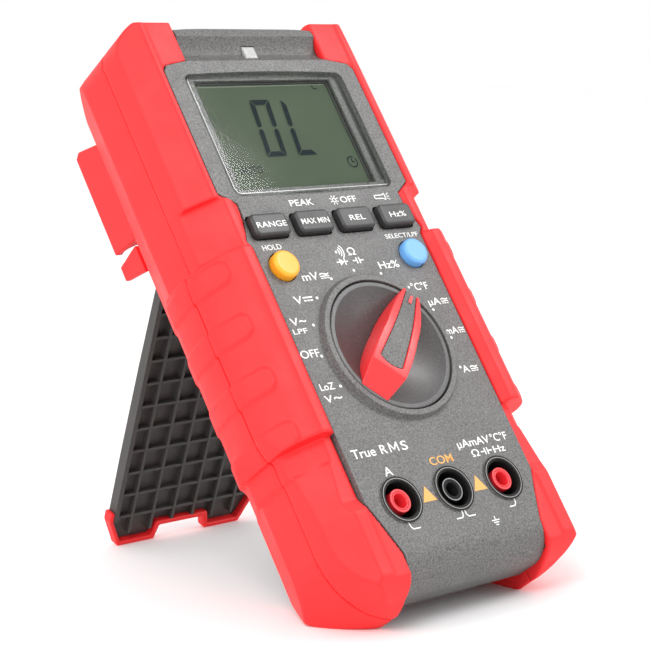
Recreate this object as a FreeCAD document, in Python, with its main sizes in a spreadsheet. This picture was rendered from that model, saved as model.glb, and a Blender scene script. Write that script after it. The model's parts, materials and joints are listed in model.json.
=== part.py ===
import FreeCAD, Part
import math
import os
import Sketcher

# A handheld digital multimeter that leans back on its fold-out stand.
# Working frame of every sub-part: X to the right, Y up along the face, Z out of the face,
# origin at the dial's centre on the face plane. Each sub-part's Placement then leans the
# whole meter back and puts the origin under the middle of its footprint, +Z up. Millimetres.

SIZES = [
    # stance
    ("lean_angle", 34.2), ("foot_y", -69.5), ("foot_z", -20), ("foot_flat", 12),
    # overall form
    ("parting_z", -16), ("parting_gap", 0.1), ("back_z", -40), ("skin_seam", -13.6),
    ("side_top", 44), ("side_waist", 43.8),
    ("side_grip", 46.3), ("side_neck", 43.2), ("side_bumper", 42.5), ("bottom_y", -70.5),
    ("top_y", 109), ("upper_y", 50), ("grip_top_y", 34), ("grip_low_y", -22), ("bumper_y", -29),
    ("ramp_reach", 34), ("ramp_slope", 0.173), ("corner_top", 9), ("corner_bottom", 21), ("form_z", 6), ("lip_rise", 0.6), ("grip_rise", 2.4),
    ("rib_width", 6.5), ("rib_pitch", 15.9), ("rib_first_y", -18.8), ("rib_rise", 0.6),
    ("rib_back", -34), ("rib_front", -1.2), ("rib_corner", 2.2),
    # grey face and hard shells
    ("face_top_half", 35), ("face_mid_half", 31), ("face_low_half", 25.5), ("crown_half", 25.5),
    ("face_gap", 0.3), ("face_top_y", 94), ("face_bottom_y", -57), ("plate_under", -3),
    ("shelf_under", -5),
    ("thin_under", -2.5), ("shell_half", 34), ("shell_low_y", -64), ("shell_high_y", 103),
    ("wall", 2), ("shell_back_z", -38.5), ("back_half", 32), ("window_half", 31.5),
    ("window_low_y", -47), ("window_high_y", 59),
    # display
    ("lens_half", 29), ("lens_low_y", 50.6), ("lens_high_y", 90), ("lens_proud", 0.35),
    ("lens_under", -1.6), ("lens_corner", 2.4), ("lens_bow", 560),
    ("view_half", 25.2), ("view_low_y", 53), ("view_high_y", 89),
    ("glass_front", -3), ("glass_back", -4.1), ("stack_back", -15.9), ("frame_half", 28.6),
    ("frame_low_y", 50), ("frame_high_y", 92),
    # keys and round buttons
    ("key_pitch", 15.6), ("key_wide", 12.4), ("key_tall", 6.9), ("key_y", 39.9), ("key_proud", 2.3),
    ("key_gap", 0.35), ("key_under", -5.2), ("key_corner", 1.5), ("key_edge", 0.9),
    ("button_x", 24), ("button_y", 27.4), ("button_radius", 4.2), ("button_proud", 2.6), ("button_edge", 1),
    ("stem_radius", 1.8), ("stem_end", -14.6), ("web_front", -6.4), ("web_back", -7.2),
    # dial
    ("ring_base_radius", 22.7), ("ring_top_radius", 21.7), ("ring_rise", 1.8), ("well_radius", 20.1),
    ("well_floor", -5), ("boss_radius", 21.6), ("boss_under", -7.6), ("disc_radius", 19.8),
    ("disc_front", 1.5), ("disc_back", -4.6), ("dish_radius", 18.3), ("dish_depth", 4.1),
    ("shaft_radius", 4.95), ("shaft_hole", 5), ("pointer_angle", 45), ("pointer_top", 6.2),
    ("pointer_tip", 19.2), ("pointer_tail", 18.6), ("rotor_radius", 13.8), ("rotor_front", -9),
    ("rotor_back", -14.4), ("detent_inner", 15.5), ("detent_outer", 18.2), ("detent_step", 22.5),
    # input jacks
    ("jack_pitch", 19), ("jack_y", -43.3), ("jack_bore", 2), ("contact_radius", 2.6),
    ("sleeve_radius", 3.3), ("recess_radius", 5.1), ("liner_radius", 5.6), ("collar_radius", 6.6),
    ("collar_rise", 0.5), ("jack_mouth", -1.5), ("jack_end", -17.9), ("jack_floor", -14),
    # board and parts on it
    ("board_front", -16), ("board_back", -17.6), ("board_half", 31.6), ("board_low_y", -60),
    ("board_high_y", 99),
    ("fuse_radius", 5.15), ("fuse_x", 20), ("fuse_z", -24.4), ("fuse_low_y", 40),
    # batteries
    ("cell_radius", 7.25), ("cell_pitch", 14.9), ("cell_length", 50.5), ("cell_low_y", -43),
    ("cell_z", -28.2), ("bay_half", 30.2), ("bay_low_y", -44.6), ("bay_high_y", 9.6),
    ("bay_floor", -20.7), ("door_half", 30.6), ("door_low_y", -45.6), ("door_high_y", 19), ("door_thick", 2), ("door_gap", 0.15),
    # fasteners
    ("screw_radius", 1.4), ("head_radius", 2.7), ("head_tall", 2), ("boss_outer", 3.5),
    # stand
    ("hinge_y", 52), ("hinge_z", -45.2), ("pin_radius", 1.25), ("pin_play", 0.05), ("knuckle_radius", 3.5),
    ("lug_inner", 15), ("lug_outer", 20), ("lug_gap", 0.4), ("stand_half", 28.2), ("stand_length", 91.9),
    ("stand_foot_half", 23.7), ("stand_shoulder", 83), ("stand_outer", -3.8),
    ("stand_outer_top", -1.2), ("stand_plate", 1), ("stand_inner", 1.6), ("flange_thick", 1.6),
    ("stand_rib", 0.9), ("edging", 1.4), ("edging_tall", 12), ("edging_deep", 3.6),
    ("notch_half", 10.2), ("notch_top_half", 8.6), ("notch_deep", 4.6),
    # probe clips
    ("clip_x", 29), ("clip_z", -47.3), ("clip_radius", 5.25), ("clip_wall", 2), ("clip_back", -50),
    ("clip_low_y", 62), ("clip_high_y", 95),
]

KEY_NAMES = ["range", "peak", "relative", "hertz"]
JACK_NAMES = ["amp", "com", "volt"]
# case screws as (x, y, seat z) and board screws as (x, y), each with a twin on the left
SCREW_SPOTS = [(27, -56, -30), (30, 14, -34.2), (13, 97, -27.5)]
BOARD_SPOTS = [(22, -29), (29.6, 46.8)]

doc = FreeCAD.newDocument("multimeter")
sheet = doc.addObject("Spreadsheet::Sheet", "Dims")
for row, (alias, number) in enumerate(SIZES, start=1):
    sheet.set("A%d" % row, alias)
    sheet.set("B%d" % row, str(number))
    sheet.setAlias("B%d" % row, alias)
doc.recompute()


class Size:
    """A length that carries both its value and its expression on the sheet."""

    def __init__(self, text, value):
        self.text = text
        self.value = float(value)

    def _with(self, other, sign, value):
        return Size("(%s %s %s)" % (self.text, sign, other.text), value)

    def __add__(self, other):
        other = size(other)
        return self._with(other, "+", self.value + other.value)

    def __sub__(self, other):
        other = size(other)
        return self._with(other, "-", self.value - other.value)

    def __mul__(self, other):
        other = size(other)
        return self._with(other, "*", self.value * other.value)

    def __truediv__(self, other):
        other = size(other)
        return self._with(other, "/", self.value / other.value)

    def __neg__(self):
        return Size("(0 - %s)" % self.text, -self.value)

    def __radd__(self, other):
        return size(other) + self

    def __rsub__(self, other):
        return size(other) - self

    def __rmul__(self, other):
        return size(other) * self


def size(given):
    """A plain number or a Size, as a Size."""
    return given if isinstance(given, Size) else Size("%g" % given, given)


class Sheet:
    """The sheet's aliases as attributes, each a Size."""

    def __getattr__(self, alias):
        return Size("Dims." + alias, sheet.get(alias))


D = Sheet()
PIECES = {}


# ---------------------------------------------------------------- building blocks

def bind(thing, **sizes):
    """Bind properties to sheet expressions; x, y and z stand for the Placement's base."""
    for name, given in sizes.items():
        path = "Placement.Base." + name if name in ("x", "y", "z") else name
        thing.setExpression(path, size(given).text)
    return thing


def box(name, x, y, z):
    """A block between two corners, each side given as (low, high)."""
    block = doc.addObject("Part::Box", name)
    spans = [(size(low), size(high)) for low, high in (x, y, z)]
    bind(block, Length=spans[0][1] - spans[0][0], Width=spans[1][1] - spans[1][0],
         Height=spans[2][1] - spans[2][0], x=spans[0][0], y=spans[1][0], z=spans[2][0])
    return block


AXES = {"X": FreeCAD.Rotation(FreeCAD.Vector(0, 1, 0), 90),
        "Y": FreeCAD.Rotation(FreeCAD.Vector(1, 0, 0), -90),
        "Z": FreeCAD.Rotation()}


def rod(name, radius, start, length, axis="Z"):
    """A cylinder from its start point along an axis."""
    solid = doc.addObject("Part::Cylinder", name)
    solid.Placement.Rotation = AXES[axis]
    return bind(solid, Radius=radius, Height=length, x=start[0], y=start[1], z=start[2])


def cone(name, radius, end_radius, start, length, axis="Z"):
    solid = doc.addObject("Part::Cone", name)
    solid.Placement.Rotation = AXES[axis]
    return bind(solid, Radius1=radius, Radius2=end_radius, Height=length,
                x=start[0], y=start[1], z=start[2])


def ball(name, radius, centre):
    solid = doc.addObject("Part::Sphere", name)
    return bind(solid, Radius=radius, x=centre[0], y=centre[1], z=centre[2])


def join(name, parts):
    whole = doc.addObject("Part::MultiFuse", name)
    whole.Shapes = parts
    whole.Refine = True
    return whole


def cut(name, base, tools):
    """The base less one tool or several."""
    result = doc.addObject("Part::Cut", name)
    result.Base = base
    result.Tool = tools[0] if len(tools) == 1 else join(name + "_tools", tools)
    return result


def common(name, parts):
    result = doc.addObject("Part::MultiCommon", name)
    result.Shapes = parts
    return result


def group(name, parts):
    """Separate solids kept side by side in one sub-part."""
    result = doc.addObject("Part::Compound", name)
    result.Links = parts
    return result


def mirrored(name, source):
    """The source reflected to the other side of the middle plane X = 0."""
    result = doc.addObject("Part::Mirroring", name)
    result.Source = source
    result.Normal = FreeCAD.Vector(1, 0, 0)
    return result


def both(name, source):
    return group(name, [source, mirrored(name + "_left", source)])


def both_joined(name, source):
    return join(name, [source, mirrored(name + "_left", source)])


def both_sides(half):
    """A symmetric loop from its right half, listed from the bottom up."""
    loop = list(half)
    for index in range(len(half) - 1, -1, -1):
        bend = half[index + 1][2:] if index + 1 < len(half) else ()
        loop.append((-size(half[index][0]), half[index][1]) + tuple(bend))
    return loop


def bulge_point(start, end, radius):
    """Middle of the arc from start to end that bulges to the right of the way it runs."""
    across = FreeCAD.Vector(end.y - start.y, start.x - end.x, 0)
    half = across.Length / 2
    rise = abs(radius) - math.sqrt(max(radius * radius - half * half, 0))
    across.normalize()
    return (start + end) * 0.5 + across * (rise if radius > 0 else -rise)


def sketch(body, plane, loop, offset):
    """A closed loop on one of the body's planes. A point's third value, where it has one,
    is the radius of the arc that arrives there: positive bulges outward, negative inward."""
    drawing = body.newObject("Sketcher::SketchObject", body.Name + "_outline")
    origin_plane = [item for item in body.Origin.OriginFeatures if item.Role == plane + "_Plane"]
    drawing.AttachmentSupport = [(origin_plane[0], "")]
    drawing.MapMode = "FlatFace"
    drawing.setExpression("AttachmentOffset.Base.z", size(offset).text)
    spots = [FreeCAD.Vector(size(point[0]).value, size(point[1]).value, 0) for point in loop]
    count = len(loop)
    for index in range(count):
        start, end, target = spots[index], spots[(index + 1) % count], loop[(index + 1) % count]
        if len(target) > 2:
            bend = size(target[2])
            middle = bulge_point(start, end, bend.value)
            first, last = (start, end) if bend.value > 0 else (end, start)
            drawing.addGeometry(Part.Arc(first, middle, last), False)
        else:
            drawing.addGeometry(Part.LineSegment(start, end), False)
    ends = [arc_ends(drawing.Geometry[index], spots[index]) for index in range(count)]
    for index in range(count):
        following = (index + 1) % count
        drawing.addConstraint(Sketcher.Constraint("Coincident", index, ends[index][1],
                                                  following, ends[following][0]))
    for index, point in enumerate(loop):
        for kind, given in (("DistanceX", point[0]), ("DistanceY", point[1])):
            given = size(given)
            number = drawing.addConstraint(
                Sketcher.Constraint(kind, -1, 1, index, ends[index][0], given.value))
            drawing.setExpression("Constraints[%d]" % number, given.text)
        if len(point) > 2:
            bend = size(point[2])
            number = drawing.addConstraint(
                Sketcher.Constraint("Radius", (index - 1) % count, abs(bend.value)))
            if bend.value > 0:
                drawing.setExpression("Constraints[%d]" % number, bend.text)
    return drawing


def arc_ends(edge, start):
    """Which end of an edge is its start on the loop: (start number, end number)."""
    if edge.TypeId == "Part::GeomLineSegment":
        return (1, 2)
    near_first = (edge.StartPoint - start).Length < (edge.EndPoint - start).Length
    return (1, 2) if near_first else (2, 1)


def prism(name, loop, low, high, plane="XY"):
    """A loop pushed out between two levels: along Z, along Y from XZ, or along X from YZ."""
    low, high = size(low), size(high)
    body = doc.addObject("PartDesign::Body", name)
    drawing = sketch(body, plane, loop, -high if plane == "XZ" else low)
    pad = body.newObject("PartDesign::Pad", name + "_pad")
    pad.Profile = drawing
    bind(pad, Length=high - low)
    return body


def along(edge, axis):
    """Whether a straight edge runs along the axis."""
    ends = [vertex.Point for vertex in edge.Vertexes]
    if len(ends) < 2:
        return False
    run = ends[1] - ends[0]
    return abs(run * axis) > 0.999 * run.Length > 0


def rounded(name, base, radius, chosen):
    """The base with the chosen edges rounded."""
    doc.recompute()
    numbers = [index for index, edge in enumerate(base.Shape.Edges, start=1) if chosen(edge)]
    result = doc.addObject("Part::Fillet", name)
    result.Base = base
    result.Edges = [(number, radius.value, radius.value) for number in numbers]
    return result


X_AXIS = FreeCAD.Vector(1, 0, 0)
Y_AXIS = FreeCAD.Vector(0, 1, 0)
Z_AXIS = FreeCAD.Vector(0, 0, 1)


def corners(edge):
    return along(edge, Z_AXIS)


def at_level(level):
    """Picks the edges that lie wholly at one height."""
    def chosen(edge):
        return all(abs(vertex.Z - level.value) < 0.01 for vertex in edge.Vertexes)
    return chosen


def barrel(name, half, y, z, corner, grow=0):
    """A symmetric plate whose top and bottom edges bow slightly outward, with round corners."""
    low, high = y
    half = half + grow
    loop = [(-half, low - grow), (half, low - grow, D.lens_bow), (half, high + grow),
            (-half, high + grow, D.lens_bow)]
    return rounded(name, prism(name + "_block", loop, z[0], z[1]), corner, corners)


def slab(name, half, y, z, corner):
    """A symmetric plate with rounded corners."""
    return rounded(name, box(name + "_block", (-size(half), half), y, z), corner, corners)


def keep(name, shape, turn=0):
    """Record a finished sub-part under its own name, turned about Z if it needs to be. One
    whose place is bound to the sheet is wrapped, so that the wrapper can be placed freely."""
    if any("Placement" in path for path, text in shape.ExpressionEngine):
        shape = group(name + "_whole", [shape])
    PIECES[name] = (shape, turn)
    return shape


# ---------------------------------------------------------------- outer form

def plan_outline():
    """Outline of the whole meter seen from the front."""
    wide = D.side_grip + D.rib_rise
    return both_sides([
        (D.side_bumper - D.corner_bottom, D.bottom_y),
        (D.side_bumper, D.bottom_y + D.corner_bottom, D.corner_bottom), (D.side_bumper, -40),
        (D.side_neck + 0.4, -25), (wide, -11, 60), (wide, 18), (D.side_top, 44, 80),
        (D.side_top, D.top_y - D.corner_top), (D.side_top - D.corner_top, D.top_y, D.corner_top)])


def side_outline():
    """Outline of the whole meter seen from its side, as (y, z). The flat at the lower back
    corner is level when the meter leans, so the meter stands on it."""
    run = math.sin(math.radians(D.lean_angle.value)), math.cos(math.radians(D.lean_angle.value))
    return [(D.bottom_y + 9, D.form_z), (D.bottom_y + 9, 0.8), (D.bottom_y + 3, -6, 12),
            (D.bottom_y, -14, 18), (D.foot_y, D.foot_z, 12),
            (D.foot_y + D.foot_flat * run[0], D.foot_z - D.foot_flat * run[1]),
            (-49, D.back_z, 46), (90, D.back_z), (D.top_y - 2.6, -28, 17), (D.top_y, -14, 26),
            (D.top_y, -3), (D.top_y - 4, D.form_z - 3, 8), (D.top_y - 4, D.form_z)]


def lip(half, rise, wide, side, shoulder, tail):
    """Right half of a cross-section through the overmould, from the back to the front."""
    return [(33, D.back_z), (tail, D.back_z + 3), (side, D.back_z + 15), (side, shoulder),
            (wide, rise), (half, rise), (half - 1, 0)]


def section_loop(half):
    """Closes a cross-section across the middle of the meter."""
    return both_sides(half)


def grip_section(grow):
    """Cross-section of the bulging grip, grown outward for its ribs."""
    return both_sides([
        (33, D.back_z), (36.5 + grow, D.back_z + 4), (D.side_grip - 1.4 + grow, -26, 30),
        (D.side_grip + grow, -15, 40), (43.5 + grow, -5.5, 24), (36.5, D.grip_rise + grow, 16),
        (D.face_mid_half + 2.6, D.grip_rise + grow), (D.face_mid_half, 0)])


def make_form():
    """The closed outer shape that both overmould halves and the shells are cut from."""
    neck_room = prism("neck_room", [(-44, 0.6), (-40, -1.4), (-28, -1.4), (-28, 6), (-44, 6)],
                      -size(50), 50, "YZ")
    bumpers = cut("bumper_zone", prism("bumper_block", lip_bumper(), D.bottom_y, D.bumper_y, "XZ"),
                  [bumper_ramps(), neck_room])
    zones = [
        bumpers,
        prism("upper_zone", lip_upper(), D.upper_y, D.top_y, "XZ"),
        prism("waist_zone", lip_waist(), D.grip_top_y, D.upper_y, "XZ"),
        prism("grip_zone", grip_section(0), D.grip_low_y, D.grip_top_y, "XZ"),
        prism("neck_zone", lip_neck(), D.bumper_y, D.grip_low_y, "XZ")]
    plan = prism("plan_form", plan_outline(), D.back_z, D.form_z)
    side = prism("side_form", side_outline(), -size(50), 50, "YZ")
    return common("outer_form", [join("zones", zones + [grip_ribs()]), plan, side])


def lip_upper():
    return section_loop(lip(D.face_top_half + 0.8, D.lip_rise, 37.2, D.side_top, -5.2, 37.5))


def lip_waist():
    return section_loop(lip(D.face_mid_half + 1, D.lip_rise, 34.4, D.side_waist, -8.5, 37.5))


def lip_neck():
    return both_sides([(33, D.back_z), (36.5, D.back_z + 4), (D.side_neck, -26), (D.side_neck, -10),
                       (38.5, -4.5), (34.5, -1.4), (D.face_mid_half, -1.4)])


def lip_bumper():
    return section_loop(lip(D.face_mid_half + 1, D.lip_rise, 36, D.side_bumper, -6, 36))


def bumper_ramps():
    """Room over the front edge of each bumper, along the slope that swells from the neck."""
    outward = FreeCAD.Vector(1, D.ramp_slope.value, 1)
    turn = FreeCAD.Rotation(X_AXIS, outward)
    room = box("ramp_room", (0, 40), (0, 120), (0, 120))
    for axis in "xyz":
        room.setExpression("Placement.Base." + axis, None)
    on_slope = FreeCAD.Vector(D.ramp_reach.value, D.bumper_y.value, 0)
    room.Placement = FreeCAD.Placement(on_slope - turn.multVec(FreeCAD.Vector(0, 60, 60)), turn)
    return both_joined("ramp_rooms", room)


def grip_ribs():
    """Four raised pads with round ends across the grip on each side."""
    bars = []
    half = D.rib_width / 2
    for index in range(4):
        y = D.rib_first_y + index * D.rib_pitch
        band = prism("rib_band_%d" % index, grip_section(D.rib_rise), y - half, y + half, "XZ")
        bend = D.rib_corner
        ends = prism("rib_ends_%d" % index, [
            (y - half, D.rib_back + half), (y + half, D.rib_back + half, half + 0.05),
            (y + half, D.rib_front - bend), (y + half - bend, D.rib_front, bend),
            (y - half + bend, D.rib_front), (y - half, D.rib_front - bend, bend)], -size(50), 50, "YZ")
        bars.append(common("rib_%d" % index, [band, ends]))
    return join("ribs", bars)


# ---------------------------------------------------------------- hard shells

def face_outline(grow=0):
    """The grey face: wide round the display, narrower between the grips and at the foot."""
    return both_sides([
        (D.face_low_half + grow, D.face_bottom_y), (28.3 + grow, -49), (D.face_mid_half + grow, -42),
        (D.face_mid_half + grow, D.grip_top_y), (32.3 + grow, 36), (D.face_mid_half - 1 + grow, 42.5),
        (D.face_mid_half - 1.2 + grow, 48), (D.face_top_half + grow, 51.5),
        (D.face_top_half + grow, D.face_top_y - 2.5), (D.face_top_half - 1.5 + grow, D.face_top_y - 0.6),
        (D.crown_half + grow, D.face_top_y + 1)])


def crown_profile():
    """Side view of the top of the face, as (y, z): a cross groove, a ridge and the top end."""
    return [(90, -15.9), (D.top_y - 1.5, -15.9), (D.top_y - 1.5, -3), (D.top_y - 3.5, -0.4, 3),
            (103.4, 0), (102.6, -0.7), (98.6, -2.6, -9), (95.4, -0.6, -9), (94.4, 0), (90, 0)]


def chin_profile():
    """Side view of the foot of the face, as (y, z), rolling over the bottom end."""
    return [(-66.6, -15.9), (-50, -15.9), (-50, 0), (D.face_bottom_y, 0), (-66.6, -9.8, 9.72)]


def make_front_core():
    """Everything inside the front overmould, before it is hollowed."""
    seam = D.parting_z + D.parting_gap
    plate = prism("face_plate", face_outline(), D.plate_under, 0)
    shell = slab("front_shell", D.shell_half, (D.shell_low_y, D.shell_high_y), (seam, D.plate_under),
                 size(8))
    crown = common("crown", [
        prism("crown_block", crown_profile(), -D.crown_half, D.crown_half, "YZ"),
        prism("crown_arch", [(-D.crown_half, 88), (D.crown_half, 88), (D.crown_half, D.top_y - 3.2),
                             (-D.crown_half, D.top_y - 3.2, 205)], -20, 5)])
    chin = prism("chin", chin_profile(), -D.face_low_half, D.face_low_half, "YZ")
    return join("front_core", [plate, shell, crown, chin])


def key_x(index):
    return (index - 1.5) * D.key_pitch


def jack_x(index):
    return (index - 1) * D.jack_pitch


def make_front_case(core):
    """The grey front shell: hollowed, with its bosses, dial well and openings."""
    seam = D.parting_z + D.parting_gap
    hollow = box("front_hollow", (D.wall - D.shell_half, D.shell_half - D.wall),
                 (D.shell_low_y + D.wall, D.shell_high_y - D.wall), (seam - 1, D.shelf_under))
    thin = box("thin_hollow", (-size(30), 30), (24, 93), (seam, D.thin_under))
    bosses = [rod("dial_boss", D.boss_radius, (0, 0, D.boss_under), D.shelf_under - D.boss_under + 1)]
    for index, (x, y, seat) in enumerate(SCREW_SPOTS):
        pillar = rod("front_boss_%d" % index, 3.2, (x, y, seam), D.shelf_under - seam + 0.5)
        bosses.append(both_joined("front_bosses_%d" % index, pillar))
    for index, (x, y) in enumerate(BOARD_SPOTS):
        pillar = rod("board_boss_%d" % index, 2.2, (x, y, seam), D.shelf_under - seam + 0.5)
        bosses.append(both_joined("board_bosses_%d" % index, pillar))
    ring = cone("dial_ring", D.ring_base_radius, D.ring_top_radius, (0, 0, -0.5), D.ring_rise + 0.5)
    collars = [cone("collar_%d" % index, D.collar_radius, D.collar_radius - 0.5,
                    (jack_x(index), D.jack_y, -0.5), D.collar_rise + 0.5) for index in range(3)]
    full = join("front_full", [cut("front_hollowed", core, [hollow, thin])] + bosses + [ring] + collars)
    holes = [barrel("lens_seat", D.lens_half, (D.lens_low_y, D.lens_high_y), (D.lens_under, 2),
                    D.lens_corner, 0.2),
             box("view_hole", (-D.view_half, D.view_half), (D.view_low_y, D.view_high_y), (-6, 1)),
             rod("dial_well", D.well_radius, (0, 0, D.well_floor), 10),
             rod("shaft_bore", D.shaft_hole, (0, 0, -12), 10),
             box("indicator_hole", (-2.5, 2.5), (96.3, 101.1), (-6, 2))]
    for index in range(4):
        x = key_x(index)
        reach = D.key_wide / 2 + D.key_gap
        tall = D.key_tall / 2 + D.key_gap
        holes.append(rounded("key_hole_%d" % index, box("key_slot_%d" % index, (x - reach, x + reach),
                     (D.key_y - tall, D.key_y + tall), (-8, 2)), D.key_corner, corners))
    for side in (-1, 1):
        holes.append(rod("button_hole", D.button_radius + 0.3, (side * D.button_x, D.button_y, -8), 10))
    for index in range(3):
        holes.append(rod("jack_hole", D.liner_radius + 0.02, (jack_x(index), D.jack_y, -6), 8))
    for index, (x, y, seat) in enumerate(SCREW_SPOTS):
        thread = rod("thread_%d" % index, D.screw_radius + 0.03, (x, y, -16.5), 10.5)
        holes.append(both_joined("threads_%d" % index, thread))
    for index, (x, y) in enumerate(BOARD_SPOTS):
        thread = rod("board_thread_%d" % index, 1.03, (x, y, -16.5), 8)
        holes.append(both_joined("board_threads_%d" % index, thread))
    return cut("front_case", full, holes)


def rear_profile(inset):
    """Side view of the rear hard shell, as (y, z), moved inward by a wall's thickness."""
    seam = D.parting_z - D.parting_gap
    return [(-65.2 + inset, seam), (-65.2 + inset, -17.5), (-58.8 + inset, -28 + inset),
            (D.window_low_y + 0.5 * inset, D.shell_back_z + inset), (82, D.shell_back_z + inset),
            (98 - inset, -30 + inset), (104 - inset, -18), (104 - inset, seam)]


def rear_section(inset):
    """Cross-section of the rear hard shell, as (x, z)."""
    seam = D.parting_z - D.parting_gap
    return both_sides([(D.back_half - inset, D.shell_back_z - 0.5 + inset),
                       (D.shell_half - inset, -32 + inset / 2), (D.shell_half - inset, seam)])


def make_rear_core(name, inset):
    along_x = prism(name + "_long", rear_profile(inset), inset - D.shell_half, D.shell_half - inset, "YZ")
    along_y = prism(name + "_cross", rear_section(inset), -70, 106, "XZ")
    return common(name, [along_x, along_y])


def hinge_block(name, inner, outer):
    """One hinge lug: a round eye on a block that stands on the back."""
    eye = rod(name + "_eye", D.knuckle_radius, (inner, D.hinge_y, D.hinge_z), outer - inner, "X")
    foot = box(name + "_foot", (inner, outer), (D.hinge_y - D.knuckle_radius, D.hinge_y + D.knuckle_radius),
               (D.hinge_z, D.shell_back_z + 1))
    return join(name, [eye, foot])


def make_rear_case(core):
    """The grey rear shell with the battery bay, screw bosses and hinge lugs."""
    seam = D.parting_z - D.parting_gap
    bay_block = box("bay_block", (-size(40), 40), (D.bay_low_y - 1.5, D.bay_high_y + 1.5),
                    (D.shell_back_z, D.bay_floor + 1.2))
    tab_block = box("tab_block", (-size(40), 40), (D.bay_high_y, D.door_high_y + 1.5),
                    (D.shell_back_z, D.shell_back_z + 2 * D.wall + 1))
    cavity = cut("rear_cavity", make_rear_core("rear_space", D.wall), [bay_block, tab_block])
    bay = box("bay_space", (-D.bay_half, D.bay_half), (D.bay_low_y, D.bay_high_y),
              (D.shell_back_z - 1, D.bay_floor))
    door = box("door_space", (-D.door_half - D.door_gap, D.door_half + D.door_gap),
               (D.door_low_y - D.door_gap, D.door_high_y + D.door_gap),
               (D.shell_back_z - 1, D.shell_back_z + D.door_thick))
    pillars, holes = [], []
    for index, (x, y, seat) in enumerate(SCREW_SPOTS):
        pillar = rod("rear_boss_%d" % index, D.boss_outer, (x, y, seat - 1), seam - size(seat) + 1)
        pillars.append(both_joined("rear_bosses_%d" % index, common(
            "rear_boss_trim_%d" % index, [pillar, core])))
        holes.append(both_joined("shank_holes_%d" % index, rod(
            "shank_hole_%d" % index, D.screw_radius + 0.1, (x, y, -45), 40)))
        holes.append(both_joined("head_holes_%d" % index, rod(
            "head_hole_%d" % index, D.head_radius + 0.2, (x, y, -48), seat + 48)))
    lug = hinge_block("hinge_lug", D.lug_inner, D.lug_outer)
    holes.append(both_joined("door_threads", rod("door_thread", 1.03, (24, 14.5, -38), 5)))
    holes.append(rod("pin_bore", D.pin_radius, (-30, D.hinge_y, D.hinge_z), 60, "X"))
    hollow = cut("rear_hollowed", core, [cavity, bay, door])
    return cut("rear_case", join("rear_full", [hollow] + pillars + [both_joined("hinge_lugs", lug)]), holes)


def fin_profile():
    """Side view of a probe clip, as (y, z), with sloping ends."""
    return [(60.5, -36), (D.clip_low_y, D.clip_back), (D.clip_high_y, D.clip_back),
            (D.clip_high_y + 1.2, D.clip_back + 2.2), (D.clip_high_y - 3, -36)]


def make_clip():
    """One open round clip that a test probe snaps into, and the low fin under it."""
    reach = D.clip_radius + D.clip_wall
    block = prism("clip_block", fin_profile(), D.clip_x - reach, D.clip_x + reach, "YZ")
    low = prism("low_fin", [(51, -40), (53.4, D.clip_back), (58, D.clip_back), (59.5, -40)],
                D.clip_x + D.clip_radius + 0.2, D.clip_x + reach, "YZ")
    channel = rod("probe_channel", D.clip_radius, (D.clip_x, 59.5, D.clip_z), 50, "Y")
    return cut("clip_solid", join("clip_blank", [block, low]), [channel])


def make_overmoulds(form, front_core, rear_core):
    """The soft red skins, one on each shell, with the shells' shapes taken out of them."""
    seam_front = D.skin_seam + D.parting_gap
    seam_rear = D.skin_seam - D.parting_gap
    front_half = box("front_space", (-60, 60), (-90, 130), (seam_front, 10))
    inside = box("front_inside", (D.wall - D.shell_half, D.shell_half - D.wall),
                 (D.shell_low_y + D.wall, D.shell_high_y - D.wall), (seam_front - 1, D.plate_under))
    crown_gap = box("crown_gap", (-D.crown_half - D.face_gap, D.crown_half + D.face_gap),
                    (D.face_top_y, 112), (D.parting_z - 1, 10))
    chin_gap = box("chin_gap", (-D.face_low_half - D.face_gap, D.face_low_half + D.face_gap),
                   (-75, D.face_bottom_y), (-20.2, 10))
    face_gap = prism("face_gap", face_outline(D.face_gap), D.plate_under, 10)
    front = cut("front_skin", common("front_form", [form, front_half]),
                [front_core, inside, crown_gap, chin_gap, face_gap])
    for name, low in (("left", -60), ("right", 0)):
        side = box(name + "_side", (low, low + 60), (-90, 130), (-30, 10))
        keep("front_overmould_" + name, common("front_skin_" + name, [front, side]))

    rear_half = box("rear_space_box", (-60, 60), (-90, 130), (-60, seam_rear))
    window = slab("back_window", D.window_half, (D.window_low_y - 2, D.window_high_y), (-60, -37), size(4))
    skin = common("rear_form", [form, rear_half])
    heel_gap = box("heel_gap", (-D.face_low_half - D.face_gap, D.face_low_half + D.face_gap), (-75, -57),
                   (-36, 0))
    seam = slab("seam_room", D.shell_half, (D.shell_low_y, D.shell_high_y),
                (D.parting_z - 0.6, D.parting_z + 0.6), size(8))
    holes = [rear_core, front_core, seam, crown_gap, window, heel_gap]
    for index, (x, y, seat) in enumerate(SCREW_SPOTS):
        access = rod("access_%d" % index, D.head_radius + 0.2, (x, y, -60), seat + 61)
        holes.append(both_joined("accesses_%d" % index, access))
    keep("rear_overmould", cut("rear_overmould", skin, holes))
    clip = make_clip()
    keep("probe_clip_right", cut("probe_clip_right", clip, [form]))
    keep("probe_clip_left", cut("probe_clip_left", mirrored("left_clip", clip), [form]))


# ---------------------------------------------------------------- display

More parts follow.
